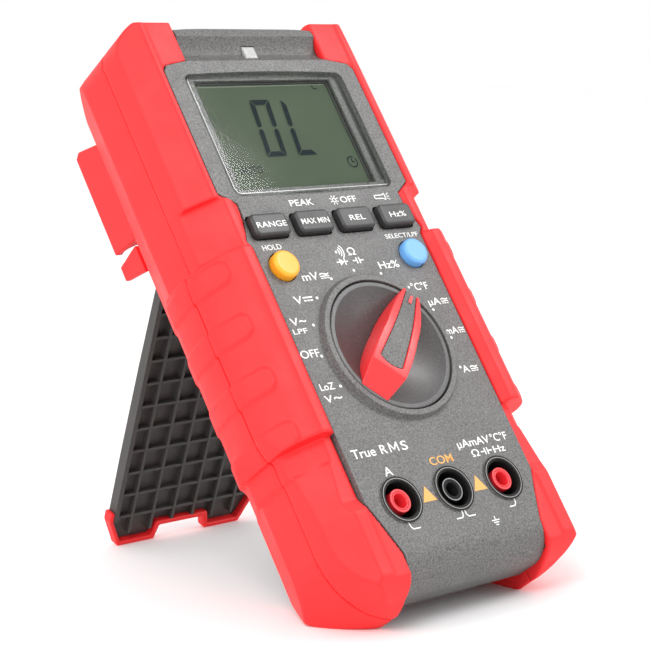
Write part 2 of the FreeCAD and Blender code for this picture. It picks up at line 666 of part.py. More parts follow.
def make_display():
    """Clear lens, liquid crystal glass, back light, its frame and the contact strips."""
    lens = barrel("lens_plate", D.lens_half, (D.lens_low_y, D.lens_high_y), (D.lens_under, D.lens_proud),
                  D.lens_corner)
    keep("display_lens", rounded("display_lens", lens, size(0.45), at_level(D.lens_proud)))
    keep("lcd_glass", box("lcd_glass", (-26, 26), (D.view_low_y - 1, D.view_high_y + 1),
                          (D.glass_back, D.glass_front)))
    keep("backlight_panel", box("backlight_panel", (-26, 26), (54.5, 87.5), (-8, D.glass_back)))
    outer = slab("frame_block", D.frame_half, (D.frame_low_y, D.frame_high_y), (D.stack_back, -2.6), size(1.5))
    window = box("frame_window", (-24.2, 24.2), (D.view_low_y + 0.6, D.view_high_y - 0.6), (-20, 0))
    pocket = box("frame_pocket", (-26.2, 26.2), (51.4, 90.6), (-20, D.glass_front))
    keep("lcd_frame", cut("lcd_frame", outer, [window, pocket]))
    strips = [box("zebra_%d" % index, (-25, 25), (y, y + 2.2), (D.stack_back, D.glass_back))
              for index, y in enumerate((51.9, 87.9))]
    keep("zebra_strips", group("zebra_strips", strips))
    lens_block = box("indicator_block", (-2.3, 2.3), (96.5, 100.9), (-5.5, -1.5))
    keep("indicator_lens", rounded("indicator_lens", lens_block, size(0.6), at_level(size(-1.5))))
    keep("indicator_led", box("indicator_led", (-1.6, 1.6), (97.5, 99.5), (D.board_front, D.board_front + 2)))


# ---------------------------------------------------------------- keys

def make_keys():
    """Four oblong keys and two round buttons, each with a stem down to its dome."""
    for index, name in enumerate(KEY_NAMES):
        x = key_x(index)
        block = box(name + "_block", (x - D.key_wide / 2, x + D.key_wide / 2),
                    (D.key_y - D.key_tall / 2, D.key_y + D.key_tall / 2), (D.key_under, D.key_proud))
        shaped = rounded(name + "_shaped", block, D.key_corner, corners)
        cap = rounded(name + "_cap", shaped, D.key_edge, at_level(D.key_proud))
        stem = rod(name + "_stem", D.stem_radius, (x, D.key_y, D.stem_end), D.key_under - D.stem_end + 0.5)
        keep("key_" + name, join("key_" + name, [cap, stem]))
    for name, side in (("hold_button", -1), ("select_button", 1)):
        drum = rod(name + "_drum", D.button_radius, (side * D.button_x, D.button_y, D.key_under),
                   D.button_proud - D.key_under)
        cap = rounded(name + "_cap", drum, D.button_edge, at_level(D.button_proud))
        stem = rod(name + "_stem", D.stem_radius, (side * D.button_x, D.button_y, D.stem_end),
                   D.key_under - D.stem_end + 0.5)
        keep(name, join(name, [cap, stem]))
    spots = [(key_x(index), D.key_y) for index in range(4)]
    spots += [(side * D.button_x, D.button_y) for side in (-1, 1)]
    sheet_block = box("web_block", (-29.8, 29.8), (23.4, 43.8), (D.web_back, D.web_front))
    holes = [rod("web_hole_%d" % index, D.stem_radius + 0.4, (x, y, -9), 4)
             for index, (x, y) in enumerate(spots)]
    dial_clear = rod("web_dial_clear", D.boss_radius + 0.4, (0, 0, -9), 4)
    keep("keypad_web", cut("keypad_web", sheet_block, holes + [dial_clear]))
    domes = [cone("dome_%d" % index, 3, 2.2, (x, y, D.board_front), 0.35)
             for index, (x, y) in enumerate(spots)]
    keep("dome_switches", group("dome_switches", domes))


# ---------------------------------------------------------------- dial

def pointer_plan(inset):
    """Plan of the pointer along +X: a broad tail and flanks that draw in to the tip."""
    return [(-D.pointer_tail + inset, -4.3 + inset / 2), (-12, -5.7 + inset), (2, -5.2 + inset, 90),
            (D.pointer_tip, -2.7 + inset, 60), (D.pointer_tip, 2.7 - inset), (2, 5.2 - inset, 60),
            (-12, 5.7 - inset, 90), (-D.pointer_tail + inset, 4.3 - inset / 2)]


def make_dial():
    """The dished disc, its pointer and insert, and the rotor and detent under the face."""
    blank = rod("disc_blank", D.disc_radius, (0, 0, D.disc_back), D.disc_front - D.disc_back)
    edged = rounded("disc_edged", blank, size(0.5), at_level(D.disc_front))
    bowl = (D.dish_radius.value ** 2 + D.dish_depth.value ** 2) / (2 * D.dish_depth.value)
    dish = ball("dish", bowl, (0, 0, D.disc_front - D.dish_depth + bowl))
    shaft = rod("shaft", D.shaft_radius, (0, 0, D.rotor_front + 0.02), D.disc_back - D.rotor_front + 0.5)
    screw_bore = rod("disc_screw_bore", 1.25, (0, 0, -12), 6)
    seat = prism("pointer_seat", pointer_plan(0), -3, 8)
    keep("dial_disc", cut("dial_disc", join("disc_whole", [cut("disc_dished", edged, [dish]), shaft]),
                          [seat, screw_bore]), turn=45)

    side = prism("pointer_side", [
        (-D.pointer_tail, -3), (D.pointer_tip, -3), (D.pointer_tip, 3.6), (9, 5.6), (-4, D.pointer_top, 60),
        (-12, 5.6, 60), (-D.pointer_tail, 1.6)], -10, 10, "XZ")
    grip = common("pointer_solid", [prism("pointer_plan", pointer_plan(0), -4, 9), side])
    slot = [(-9.8, -3.75, 8), (D.pointer_tip + 1, -1.85), (D.pointer_tip + 1, 1.85), (-9.8, 3.75)]
    groove = prism("pointer_groove", slot, 3, 9)
    keep("dial_pointer", cut("dial_pointer", grip, [groove]), turn=45)
    inlay = prism("inlay_plan", [(-9.65, -3.6, 8), (D.pointer_tip - 0.3, -1.7),
                                 (D.pointer_tip - 0.3, 1.7), (-9.65, 3.6)], 3, 9)
    level = prism("inlay_side", [
        (-D.pointer_tail, 2.5), (D.pointer_tip, 2.5), (D.pointer_tip, 3.3), (9, 5.3),
        (-4, D.pointer_top - 0.3, 60), (-12, 5.3, 60)], -10, 10, "XZ")
    keep("dial_insert", common("dial_insert", [inlay, level]), turn=45)

    drum = rod("rotor_drum", D.rotor_radius, (0, 0, D.rotor_back), D.rotor_front - D.rotor_back)
    pockets = [rod("ball_pocket_%d" % index, 1.2, (start, 0, -11), 6, "X")
               for index, start in enumerate((-14, 8))]
    screw_way = rod("screw_way", 1.25, (0, 0, -20), 12)
    keep("dial_rotor", cut("dial_rotor", drum, pockets + [screw_way]), turn=45)
    balls = [ball("detent_ball_%d" % index, 1.1, (x, 0, -11)) for index, x in enumerate((-14.1, 14.1))]
    keep("detent_balls", group("detent_balls", balls), turn=45)
    coils = [rod("detent_coil_%d" % index, 0.9, (x, 0, -11), 4.4, "X")
             for index, x in enumerate((-12.7, 8.3))]
    keep("detent_springs", group("detent_springs", coils), turn=45)
    wipers = []
    for index, radius in enumerate((6, 8.6, 11.2)):
        strip = box("wiper_%d" % index, (radius - 1, radius + 1), (-2.6, 2.6), (-14.8, -14.4))
        nose = rod("wiper_nose_%d" % index, 0.6, (radius - 1, 0, -15.2), 2, "X")
        wipers.append(join("wiper_whole_%d" % index, [strip, nose]))
    keep("rotor_wipers", group("rotor_wipers", wipers), turn=45)
    shank = rod("dial_screw_shank", 1.2, (0, 0, -14.4), 8)
    way = rod("dial_screw_head", 2.4, (0, 0, -15.6), 1.2)
    keep("dial_screw", join("dial_screw", [shank, way]), turn=45)

    race = cut("race", rod("race_outer", D.detent_outer, (0, 0, -13.4), 5.4),
               [rod("race_inner", D.detent_inner, (0, 0, -20), 12)])
    notches = []
    for index in range(16):
        angle = math.radians(index * D.detent_step.value)
        spot = (15.2 * math.cos(angle), 15.2 * math.sin(angle), -20)
        notches.append(rod("notch_%d" % index, 1.3, spot, 12))
    keep("detent_ring", cut("detent_ring", race, notches))
    seal = doc.addObject("Part::Torus", "dial_seal")
    bind(seal, Radius1=D.shaft_radius + 1, Radius2=0.65, z=-8.3)
    keep("dial_seal", seal)


# ---------------------------------------------------------------- input jacks

def make_jacks():
    """Three shrouded 4 mm sockets: a black block with deep cups, sleeves and brass contacts."""
    block = box("jack_body", (-27, 27), (D.jack_y - 8.5, D.jack_y + 8.5), (D.stack_back, D.shelf_under))
    liners = [rod("liner_%d" % index, D.liner_radius, (jack_x(index), D.jack_y, D.shelf_under - 0.5),
                  0.2 - D.shelf_under + 0.5) for index in range(3)]
    cups = [rod("cup_%d" % index, D.recess_radius, (jack_x(index), D.jack_y, D.jack_floor), 20)
            for index in range(3)]
    ways = [rod("sleeve_way_%d" % index, D.sleeve_radius, (jack_x(index), D.jack_y, -20), 8)
            for index in range(3)]
    keep("jack_block", cut("jack_block", join("jack_full", [block] + liners), cups + ways))
    for index, name in enumerate(JACK_NAMES):
        x = jack_x(index)
        sleeve = rod(name + "_sleeve", D.sleeve_radius, (x, D.jack_y, D.stack_back), -0.3 - D.stack_back)
        inside = rod(name + "_inside", D.contact_radius, (x, D.jack_y, -20), 22)
        keep("jack_sleeve_" + name, cut("jack_sleeve_" + name, sleeve, [inside]))
        tube = rod(name + "_tube", D.contact_radius, (x, D.jack_y, D.jack_end), D.jack_mouth - D.jack_end)
        bore = rod(name + "_bore", D.jack_bore, (x, D.jack_y, D.jack_end + 1), 30)
        keep("jack_contact_" + name, cut("jack_contact_" + name, tube, [bore]))


# ---------------------------------------------------------------- electronics

def make_board():
    """The main board and what is soldered or clipped to it."""
    plate = slab("board_plate", D.board_half, (D.board_low_y, D.board_high_y), (D.board_back, D.board_front),
                 size(7))
    holes = [both_joined("boss_ways_%d" % index, rod("boss_way_%d" % index, D.boss_outer + 0.4, (x, y, -20), 6))
             for index, (x, y, seat) in enumerate(SCREW_SPOTS)]
    holes += [both_joined("screw_ways_%d" % index, rod("screw_way_%d" % index, 1.15, (x, y, -20), 6))
              for index, (x, y) in enumerate(BOARD_SPOTS)]
    holes += [rod("contact_way_%d" % index, D.contact_radius + 0.02, (jack_x(index), D.jack_y, -20), 6)
              for index in range(3)]
    keep("main_board", cut("main_board", plate, holes))
    screws = []
    for index, (x, y) in enumerate(BOARD_SPOTS):
        shank = rod("board_shank_%d" % index, 1, (x, y, D.board_back), 7)
        head = rod("board_head_%d" % index, 1.9, (x, y, D.board_back - 1.4), 1.4)
        screw = join("board_screw_%d" % index, [shank, head])
        screws += [screw, mirrored("board_screw_left_%d" % index, screw)]
    keep("board_screws", group("board_screws", screws))

    clips = []
    for name, side, length in (("fuse_high_range", -1, 38), ("fuse_low_range", 1, 35)):
        x = side * D.fuse_x
        keep(name, rod(name, D.fuse_radius, (x, D.fuse_low_y, D.fuse_z), length, "Y"))
        for index, y in enumerate((D.fuse_low_y + 1.5, D.fuse_low_y + length - 6.5)):
            jaw = box("jaw_%s_%d" % (name, index), (x - 6, x + 6), (y, y + 5), (D.fuse_z - 3, D.board_back))
            tube = rod("jaw_way_%s_%d" % (name, index), D.fuse_radius, (x, y - 1, D.fuse_z), 7, "Y")
            mouth = box("jaw_mouth_%s_%d" % (name, index), (x - 4.2, x + 4.2), (y - 1, y + 6), (-40, D.fuse_z))
            clips.append(cut("clip_%s_%d" % (name, index), jaw, [tube, mouth]))
    keep("fuse_clips", group("fuse_clips", clips))

    strap = box("shunt_strap", (-25, -13), (-34, -32.2), (-19.3, D.board_back))
    under = box("shunt_under", (-23.6, -14.4), (-35, -31), (-18.5, -17))
    keep("current_shunt", cut("current_shunt", strap, [under]))
    keep("buzzer", cut("buzzer", rod("buzzer_drum", 7.5, (0, 72, D.board_back - 4), 4),
                       [rod("buzzer_mouth", 1.2, (0, 72, -30), 10)]))
    chips = [box("chip_%d" % index, (x - w / 2, x + w / 2), (y - w / 2, y + w / 2),
                 (D.board_back - 1.6, D.board_back))
             for index, (x, y, w) in enumerate(((0, 52, 12), (0, 30, 9), (-12, 22, 5), (12, 22, 5)))]
    keep("measuring_chips", group("measuring_chips", chips))
    discs = [rod("varistor_%d" % index, 4.2, (x, 24, D.board_back - 5), 3.6, "Y")
             for index, x in enumerate((-26, 26))]
    discs += [rod("thermistor_%d" % index, 3, (x, 32.5, D.board_back - 3.8), 3, "Y")
              for index, x in enumerate((-26, 26))]
    keep("input_protection", group("input_protection", discs))


def make_batteries():
    """Four cells side by side, their contacts, and the screwed door over them."""
    cells = []
    for index in range(4):
        x = (index - 1.5) * D.cell_pitch
        can = rod("cell_can_%d" % index, D.cell_radius, (x, D.cell_low_y, D.cell_z), D.cell_length - 1.5, "Y")
        cap = rod("cell_cap_%d" % index, 2.6, (x, D.cell_low_y + D.cell_length - 2, D.cell_z), 2, "Y")
        cells.append(join("cell_%d" % index, [can, cap]))
    keep("battery_cells", group("battery_cells", cells))
    end_y = D.cell_low_y + D.cell_length
    plates = [box("contact_%d" % index, ((index - 1.5) * D.cell_pitch - 4.5, (index - 1.5) * D.cell_pitch + 4.5),
                  (end_y + 0.05, end_y + 0.55), (D.cell_z - 4, D.cell_z + 4)) for index in range(4)]
    springs = [cone("contact_spring_%d" % index, 3.4, 2, ((index - 1.5) * D.cell_pitch, D.cell_low_y - 1.5,
                    D.cell_z), 1.4, "Y") for index in range(4)]
    keep("battery_contacts", group("battery_contacts", plates + springs))
    panel = slab("door_panel", D.door_half, (D.door_low_y, D.door_high_y),
                 (D.shell_back_z, D.shell_back_z + D.door_thick - 0.05), size(2))
    ways = both_joined("door_screw_ways", rod("door_screw_way", 1.2, (24, 14.5, -45), 10))
    sinks = both_joined("door_screw_sinks", rod("door_screw_sink", 2.1, (24, 14.5, -45), 7.5))
    ribs = [box("door_rib_%d" % index, (-26, 26), (y, y + 1), (-43, D.shell_back_z + 0.5))
            for index, y in enumerate((-38, -34, -30, -26))]
    keep("battery_door", cut("battery_door", panel, [ways, sinks] + ribs))
    rim = slab("gasket_rim", D.bay_half - 0.1, (D.bay_low_y + 0.1, D.bay_high_y - 0.1),
               (-36.5, -35.6), size(2))
    inner = slab("gasket_inner", D.bay_half - 1.4, (D.bay_low_y + 1.4, D.bay_high_y - 1.4),
                 (-37, -35), size(2))
    keep("battery_gasket", cut("battery_gasket", rim, [inner]))
    shank = rod("door_screw_shank", 1, (24, 14.5, -37.5), 4)
    head = rod("door_screw_head", 2, (24, 14.5, -38.3), 0.8)
    keep("battery_door_screws", both("battery_door_screws", join("door_screw", [shank, head])))


def make_case_fasteners():
    """The gasket in the seam and the six long case screws."""
    seam = D.parting_gap - 0.02
    outer = slab("gasket_outer", D.shell_half - 0.1, (D.shell_low_y + 0.1, D.shell_high_y - 0.1),
                 (D.parting_z - seam, D.parting_z + seam), size(7.9))
    inner = slab("gasket_hole", D.shell_half - D.wall + 0.1, (D.shell_low_y + D.wall, 101),
                 (-20, -12), size(6))
    keep("case_gasket", cut("case_gasket", outer, [inner]))
    screws = []
    for index, (x, y, seat) in enumerate(SCREW_SPOTS):
        shank = rod("case_shank_%d" % index, D.screw_radius, (x, y, seat), -8 - seat)
        head = rod("case_head_%d" % index, D.head_radius, (x, y, seat - D.head_tall), D.head_tall)
        slot = box("case_slot_%d" % index, (x - 1.9, x + 1.9), (y - 0.35, y + 0.35),
                   (seat - D.head_tall - 1, seat - D.head_tall + 0.8))
        bar = box("case_bar_%d" % index, (x - 0.35, x + 0.35), (y - 1.9, y + 1.9),
                  (seat - D.head_tall - 1, seat - D.head_tall + 0.8))
        blank = join("case_screw_blank_%d" % index, [shank, head])
        screw = cut("case_screw_%d" % index, blank, [slot, bar])
        screws += [screw, mirrored("case_screw_left_%d" % index, screw)]
    keep("case_screws", group("case_screws", screws))


# ---------------------------------------------------------------- stand

def stand_outline(inset):
    """Outline of the leg with its clipped corners and the notch in its foot, hinge at y = 0."""
    notch = D.notch_half + inset
    return both_sides([
        (notch, inset - D.stand_length), (D.stand_foot_half - inset / 2, inset - D.stand_length),
        (D.stand_half - inset, -D.stand_shoulder), (D.stand_half - inset, 2)])


def notch_outline(grow):
    """The notch in the foot, widened to leave room for its edging."""
    return both_sides([(D.notch_half + grow, -D.stand_length - 1),
                       (D.notch_top_half + grow, D.notch_deep - D.stand_length + grow)])


def leg_side(lift, thick):
    """Side view of the leg, as (y, z), which draws in towards the hinge."""
    low = D.stand_outer + lift
    high = D.stand_outer_top + lift
    return [(-D.stand_length - 1, low), (-60, low + 0.4), (-30, low + 1.2), (4, high),
            (4, high + thick), (-D.stand_length - 1, low + thick)]


def make_stand():
    """The ribbed leg in its folded place, relative to the hinge line, and its soft edging."""
    e = D.edging
    plate = common("leg_plate", [
        prism("leg_outline", stand_outline(e), D.stand_outer - 1, 6),
        prism("leg_skin", leg_side(size(0), D.stand_plate), -D.stand_half, D.stand_half, "YZ")])
    flange = prism("flange", [(-D.stand_shoulder, D.stand_outer), (4, D.stand_outer), (4, D.stand_inner),
                              (-D.stand_shoulder, D.stand_outer + 3.6)],
                   D.stand_half - e - D.flange_thick, D.stand_half - e, "YZ")
    ribs = []
    for index in range(6):
        x = (index - 2.5) * 8
        ribs.append(prism("long_rib_%d" % index, [
            (-88, D.stand_outer), (-6, D.stand_outer), (-6, D.stand_inner - 0.2),
            (-88, D.stand_outer + 3.3)], x - D.stand_rib / 2, x + D.stand_rib / 2, "YZ"))
    for index in range(10):
        y = -12.5 - index * 7.7
        top = 1.2 - index * 0.2
        ribs.append(box("cross_rib_%d" % index, (e - D.stand_half + 0.5, D.stand_half - e - 0.5),
                        (y - D.stand_rib / 2, y + D.stand_rib / 2), (D.stand_outer, top)))
    lattice = common("leg_lattice", [
        join("leg_ribs", [both_joined("flanges", flange)] + ribs),
        prism("leg_room", leg_side(size(0.4), size(9)), -size(40), 40, "YZ")])
    leg = cut("leg_body", join("leg_whole", [plate, lattice]),
              [prism("leg_notch", notch_outline(e), -10, 10)])
    knuckles = []
    for index, (low, high) in enumerate(((D.lug_inner - 7, D.lug_inner - D.lug_gap),
                                         (D.lug_outer + D.lug_gap, D.stand_half - e))):
        knuckles.append(both_joined("knuckles_%d" % index, rod(
            "knuckle_%d" % index, D.knuckle_radius, (low, 0, 0), high - low, "X")))
    full = join("leg_full", [leg] + knuckles)
    lug_room = box("lug_room", (D.lug_inner - D.lug_gap, D.lug_outer + D.lug_gap), (-5.6, 10), (-10, 10))
    end_room = box("end_room", (-40, 40), (D.knuckle_radius, 10), (-10, 10))
    middle = box("middle_room", (7 - D.lug_inner, D.lug_inner - 7), (-5, 10), (-10, 10))
    pin_way = rod("stand_pin_way", D.pin_radius + D.pin_play, (-40, 0, 0), 80, "X")
    stand = cut("tilt_stand", full, [both_joined("lug_rooms", lug_room), end_room, middle, pin_way])

    band = cut("edging_band", prism("edging_outer", stand_outline(0), D.stand_outer,
                                    D.stand_outer + D.edging_deep), [
        cut("edging_core", prism("edging_inner", stand_outline(e), -10, 10),
            [prism("edging_core_notch", notch_outline(e), -20, 20)]),
        prism("edging_notch", notch_outline(0), -10, 10),
        box("edging_top", (-40, 40), (D.edging_tall - D.stand_length, 10), (-10, 10))])
    pin = rod("hinge_pin", D.pin_radius, (D.lug_inner - 6.5, D.hinge_y, D.hinge_z), 17.5, "X")
    keep("hinge_pins", both("hinge_pins", pin))
    return stand, band


# ---------------------------------------------------------------- stance and output

def leaned():
    """The rotation that leans the meter back from upright."""
    return FreeCAD.Rotation(X_AXIS, 90 - D.lean_angle.value)


def stand_opening(ground):
    """How far the leg opens, in degrees, for the edge of its foot to meet the ground."""
    edge = (-D.stand_length.value, D.stand_outer.value + D.edging_deep.value)
    reach = math.hypot(*edge)
    own = math.degrees(math.atan2(edge[1], edge[0])) % 360
    hinge = leaned().multVec(FreeCAD.Vector(0, D.hinge_y.value, D.hinge_z.value))
    from_level = 360 + math.degrees(math.asin((ground - hinge.z) / reach))
    return from_level - (90 - D.lean_angle.value) - own


def place_all(stand, edging):
    """Lean every sub-part back, open the stand, and centre the whole on its footprint."""
    ground = leaned().multVec(FreeCAD.Vector(0, D.foot_y.value, D.foot_z.value)).z
    opening = stand_opening(ground)
    hinge = FreeCAD.Vector(0, D.hinge_y.value, D.hinge_z.value)
    stand_place = FreeCAD.Placement(hinge, FreeCAD.Rotation(X_AXIS, opening))
    locals_ = {name: FreeCAD.Placement(FreeCAD.Vector(), FreeCAD.Rotation(Z_AXIS, turn))
               for name, (shape, turn) in PIECES.items()}
    for name, shape in (("tilt_stand", stand), ("stand_edging", edging)):
        keep(name, shape)
        locals_[name] = stand_place
    spans = []
    for name, (shape, turn) in PIECES.items():
        own = shape.Shape.copy()
        own.Placement = FreeCAD.Placement(FreeCAD.Vector(), leaned()) * locals_[name] * own.Placement
        spans.append(own.optimalBoundingBox())
    middle = (min(span.YMin for span in spans) + max(span.YMax for span in spans)) / 2
    stance = FreeCAD.Placement(FreeCAD.Vector(0, -middle, -ground), leaned())
    for name, (shape, turn) in PIECES.items():
        shape.Placement = stance * locals_[name] * shape.Placement
        shape.Label = name
    print("stance: lean %.4f opening %.4f shift %.4f %.4f" % (
        D.lean_angle.value, opening, -middle, -ground))


def write_pieces():
    """Check every object and sub-part, then write one STEP file for each."""
    doc.recompute()
    bad = [item.Label for item in doc.Objects if "Invalid" in item.State or "Error" in item.State]
    if bad:
        raise RuntimeError("failed objects: " + ", ".join(bad))
    for name, (shape, turn) in PIECES.items():
        if shape.Shape.isNull() or not shape.Shape.isValid() or not shape.Shape.Solids:
            raise RuntimeError("bad shape: " + name)
    os.makedirs("parts", exist_ok=True)
    for name, (shape, turn) in PIECES.items():
        shape.Shape.exportStep("parts/%s.step" % name)
        print("%-22s solids %2d  volume %9.1f" % (name, len(shape.Shape.Solids), shape.Shape.Volume))
    print(len(PIECES), "sub-parts")


form = make_form()
front_core = make_front_core()
rear_core = make_rear_core("rear_core", size(0))
keep("front_case", make_front_case(front_core))
keep("rear_case", make_rear_case(rear_core))
make_overmoulds(form, front_core, rear_core)
make_display()
make_keys()
make_dial()
make_jacks()
make_board()
make_batteries()
make_case_fasteners()
stand_leg, stand_band = make_stand()
doc.recompute()
place_all(stand_leg, stand_band)
write_pieces()
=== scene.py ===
import json
import math
import bpy
from mathutils import Matrix, Vector


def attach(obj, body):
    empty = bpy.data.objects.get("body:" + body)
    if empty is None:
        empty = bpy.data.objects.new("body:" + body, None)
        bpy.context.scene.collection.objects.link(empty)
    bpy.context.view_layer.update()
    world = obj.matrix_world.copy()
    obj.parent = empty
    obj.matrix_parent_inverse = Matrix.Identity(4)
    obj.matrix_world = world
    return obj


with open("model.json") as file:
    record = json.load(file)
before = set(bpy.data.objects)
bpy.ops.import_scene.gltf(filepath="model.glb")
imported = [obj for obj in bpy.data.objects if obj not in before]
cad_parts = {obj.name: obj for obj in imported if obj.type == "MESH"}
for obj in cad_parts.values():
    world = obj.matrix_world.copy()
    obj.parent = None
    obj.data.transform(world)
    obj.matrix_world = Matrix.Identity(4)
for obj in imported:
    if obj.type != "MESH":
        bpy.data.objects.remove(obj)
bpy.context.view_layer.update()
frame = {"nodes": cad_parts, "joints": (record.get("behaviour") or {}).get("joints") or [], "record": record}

MM = 0.001
DIAL = next(joint for joint in frame["joints"] if joint["name"] == "dial_turn")
OUT = Vector(DIAL["axis"])
RIGHT = Vector((1, 0, 0))
UP = OUT.cross(RIGHT)
# Face millimetres (x right, y up the face, z out of it, from the dial's centre) to the shared frame.
FACE = (Matrix.Translation(Vector(DIAL["pos_m"])) @ Matrix((RIGHT, UP, OUT)).transposed().to_4x4()
        @ Matrix.Scale(MM, 4))
# Heights above the face plane on which artwork lies.
PRINT_LEVEL = 0.02
KEY_TOP = 2.3
GLASS_FRONT = -3.0
WINDOW_FRONT = 0.36
COLLAR_TOP = 0.5
INLAY_TOP = 4.35
KNOB_TURN = math.radians(45)
DOT_RADIUS = 24.2
SOCKET_RING = 5.95
CAPITAL_HEIGHT = 0.73
SOCKET_Y = -43.3
SOCKET_XS = (-19, 0, 19)
CAMERA_AT = Vector((-345.63, -149.13, 345.88))
CAMERA_RIGHT = Vector((0.75174, -0.38572, 0.53489))
CAMERA_FORWARD = Vector((0.65222, 0.31496, -0.68950))


# ---------------------------------------------------------------- materials

def blank(name):
    mat = bpy.data.materials.new(name)
    mat.use_nodes = True
    tree = mat.node_tree
    tree.nodes.clear()
    out = tree.nodes.new("ShaderNodeOutputMaterial")
    shader = tree.nodes.new("ShaderNodeBsdfPrincipled")
    tree.links.new(shader.outputs[0], out.inputs["Surface"])
    return mat, tree, shader


def noise_node(tree, coords, scale, detail=4.0, rough=0.6):
    node = tree.nodes.new("ShaderNodeTexNoise")
    node.inputs["Scale"].default_value = scale
    node.inputs["Detail"].default_value = detail
    node.inputs["Roughness"].default_value = rough
    tree.links.new(coords, node.inputs["Vector"])
    return node.outputs["Fac"]


def ranged(tree, value, low, high):
    node = tree.nodes.new("ShaderNodeMapRange")
    node.inputs["From Min"].default_value = 0.3
    node.inputs["From Max"].default_value = 0.7
    node.inputs["To Min"].default_value = low
    node.inputs["To Max"].default_value = high
    tree.links.new(value, node.inputs["Value"])
    return node.outputs["Result"]


def two_tone(tree, value, dark, light, edges=(0.35, 0.65)):
    node = tree.nodes.new("ShaderNodeValToRGB")
    for element, place, colour in zip(node.color_ramp.elements, edges, (dark, light)):
        element.position = place
        element.color = (*colour, 1)
    tree.links.new(value, node.inputs["Fac"])
    return node.outputs["Color"]


def moulded(name, colour, spread=0.12, grain=2500, relief=0.1, rough=0.5, rough_spread=0.06,
            soft_edge=0.3, edges=(0.35, 0.65), **sockets):
    """Moulded plastic or rubber: grain in its colour and relief, patches in its gloss, soft edges."""
    mat, tree, shader = blank(name)
    coords = tree.nodes.new("ShaderNodeTexCoord").outputs["Object"]
    fine = noise_node(tree, coords, grain)
    broad = noise_node(tree, coords, 90, 3.0)
    dark = [c * (1 - spread) for c in colour]
    light = [min(1, c * (1 + spread)) for c in colour]
    tree.links.new(two_tone(tree, fine, dark, light, edges), shader.inputs["Base Color"])
    gloss = ranged(tree, broad, rough - rough_spread, rough + rough_spread)
    tree.links.new(gloss, shader.inputs["Roughness"])
    bump = tree.nodes.new("ShaderNodeBump")
    bump.inputs["Strength"].default_value = relief
    bump.inputs["Distance"].default_value = 0.0001
    tree.links.new(fine, bump.inputs["Height"])
    if soft_edge:
        bevel = tree.nodes.new("ShaderNodeBevel")
        bevel.samples = 6
        bevel.inputs["Radius"].default_value = soft_edge * MM
        tree.links.new(bevel.outputs[0], bump.inputs["Normal"])
    tree.links.new(bump.outputs[0], shader.inputs["Normal"])
    for socket, value in sockets.items():
        shader.inputs[socket.replace("_", " ")].default_value = value
    return mat


def turned_metal(name, colour, rough):
    """Metal with fine lathe marks round its own length."""
    mat, tree, shader = blank(name)
    coords = tree.nodes.new("ShaderNodeTexCoord").outputs["Object"]
    marks = tree.nodes.new("ShaderNodeTexWave")
    marks.inputs["Scale"].default_value = 900
    marks.inputs["Distortion"].default_value = 3
    marks.inputs["Detail"].default_value = 3
    tree.links.new(coords, marks.inputs["Vector"])
    patch = noise_node(tree, coords, 400)
    metal = two_tone(tree, patch, [c * 0.8 for c in colour], colour)
    tree.links.new(metal, shader.inputs["Base Color"])
    tree.links.new(ranged(tree, patch, rough - 0.08, rough + 0.08), shader.inputs["Roughness"])
    bump = tree.nodes.new("ShaderNodeBump")
    bump.inputs["Strength"].default_value = 0.15
    bump.inputs["Distance"].default_value = 0.00005
    tree.links.new(marks.outputs["Fac"], bump.inputs["Height"])
    tree.links.new(bump.outputs[0], shader.inputs["Normal"])
    shader.inputs["Metallic"].default_value = 1
    return mat


def clear_plate(name):
    """The display window: clear, with a polished skin that carries the faintest smears."""
    mat = bpy.data.materials.new(name)
    mat.use_nodes = True
    tree = mat.node_tree
    tree.nodes.clear()
    out = tree.nodes.new("ShaderNodeOutputMaterial")
    through = tree.nodes.new("ShaderNodeBsdfTransparent")
    through.inputs["Color"].default_value = (0.93, 0.95, 0.93, 1)
    gloss = tree.nodes.new("ShaderNodeBsdfGlossy")
    coords = tree.nodes.new("ShaderNodeTexCoord").outputs["Object"]
    tree.links.new(ranged(tree, noise_node(tree, coords, 60), 0.06, 0.1), gloss.inputs["Roughness"])
    fresnel = tree.nodes.new("ShaderNodeFresnel")
    fresnel.inputs["IOR"].default_value = 1.2
    front = tree.nodes.new("ShaderNodeMath")
    front.operation = "SUBTRACT"
    front.use_clamp = True
    sides = tree.nodes.new("ShaderNodeNewGeometry")
    tree.links.new(fresnel.outputs[0], front.inputs[0])
    tree.links.new(sides.outputs["Backfacing"], front.inputs[1])
    mix = tree.nodes.new("ShaderNodeMixShader")
    tree.links.new(front.outputs[0], mix.inputs["Fac"])
    tree.links.new(through.outputs[0], mix.inputs[1])
    tree.links.new(gloss.outputs[0], mix.inputs[2])
    tree.links.new(mix.outputs[0], out.inputs["Surface"])
    return mat


def lcd_sheet(name):
    """The grey-green reflective sheet of the display, slightly uneven, with faint pixel grain."""
    mat, tree, shader = blank(name)
    coords = tree.nodes.new("ShaderNodeTexCoord").outputs["Object"]
    broad = noise_node(tree, coords, 22, 2.0)
    sheet = two_tone(tree, broad, (0.083, 0.105, 0.073), (0.103, 0.128, 0.09))
    tree.links.new(sheet, shader.inputs["Base Color"])
    tree.links.new(ranged(tree, noise_node(tree, coords, 3000), 0.5, 0.65), shader.inputs["Roughness"])
    shader.inputs["Specular IOR Level"].default_value = 0.04
    return mat


